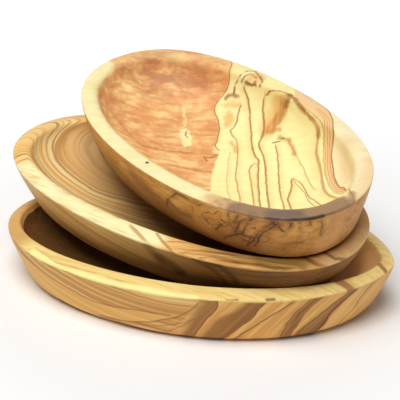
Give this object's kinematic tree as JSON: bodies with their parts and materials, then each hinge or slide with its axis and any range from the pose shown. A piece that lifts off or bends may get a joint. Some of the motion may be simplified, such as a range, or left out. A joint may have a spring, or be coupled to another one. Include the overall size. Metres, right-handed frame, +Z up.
{
  "type": "nesting dip bowl set",
  "caption": "Boat-shaped dip bowls carved from olive wood, with sloping rims and scooped hollows, stacked loosely one in another; each lifts out to serve dips, olives or nuts.",
  "frame": {"origin": "Middle of the large bowl's flat base, on the table.", "axes": "+X runs along the large bowl towards its pointed tip, +Y towards the far side of the stack, +Z up."},
  "size_m": [0.2263, 0.1518, 0.1052],
  "materials": {
    "olive_wood_striped": "oiled",
    "olive_wood_lined": "oiled",
    "olive_wood_figured": "oiled"
  },
  "bodies": {
    "large": {"large_bowl": "olive_wood_striped"},
    "medium": {"medium_bowl": "olive_wood_lined"},
    "small": {"small_bowl": "olive_wood_figured"}
  },
  "joints": [
    {"name": "medium_lift", "type": "slide", "parent": "large", "child": "medium", "axis": [0, 0, 1], "range_m": [0, 0.12]},
    {"name": "small_lift", "type": "slide", "parent": "medium", "child": "small", "axis": [0, 0, 1], "range_m": [0, 0.12]}
  ]
}
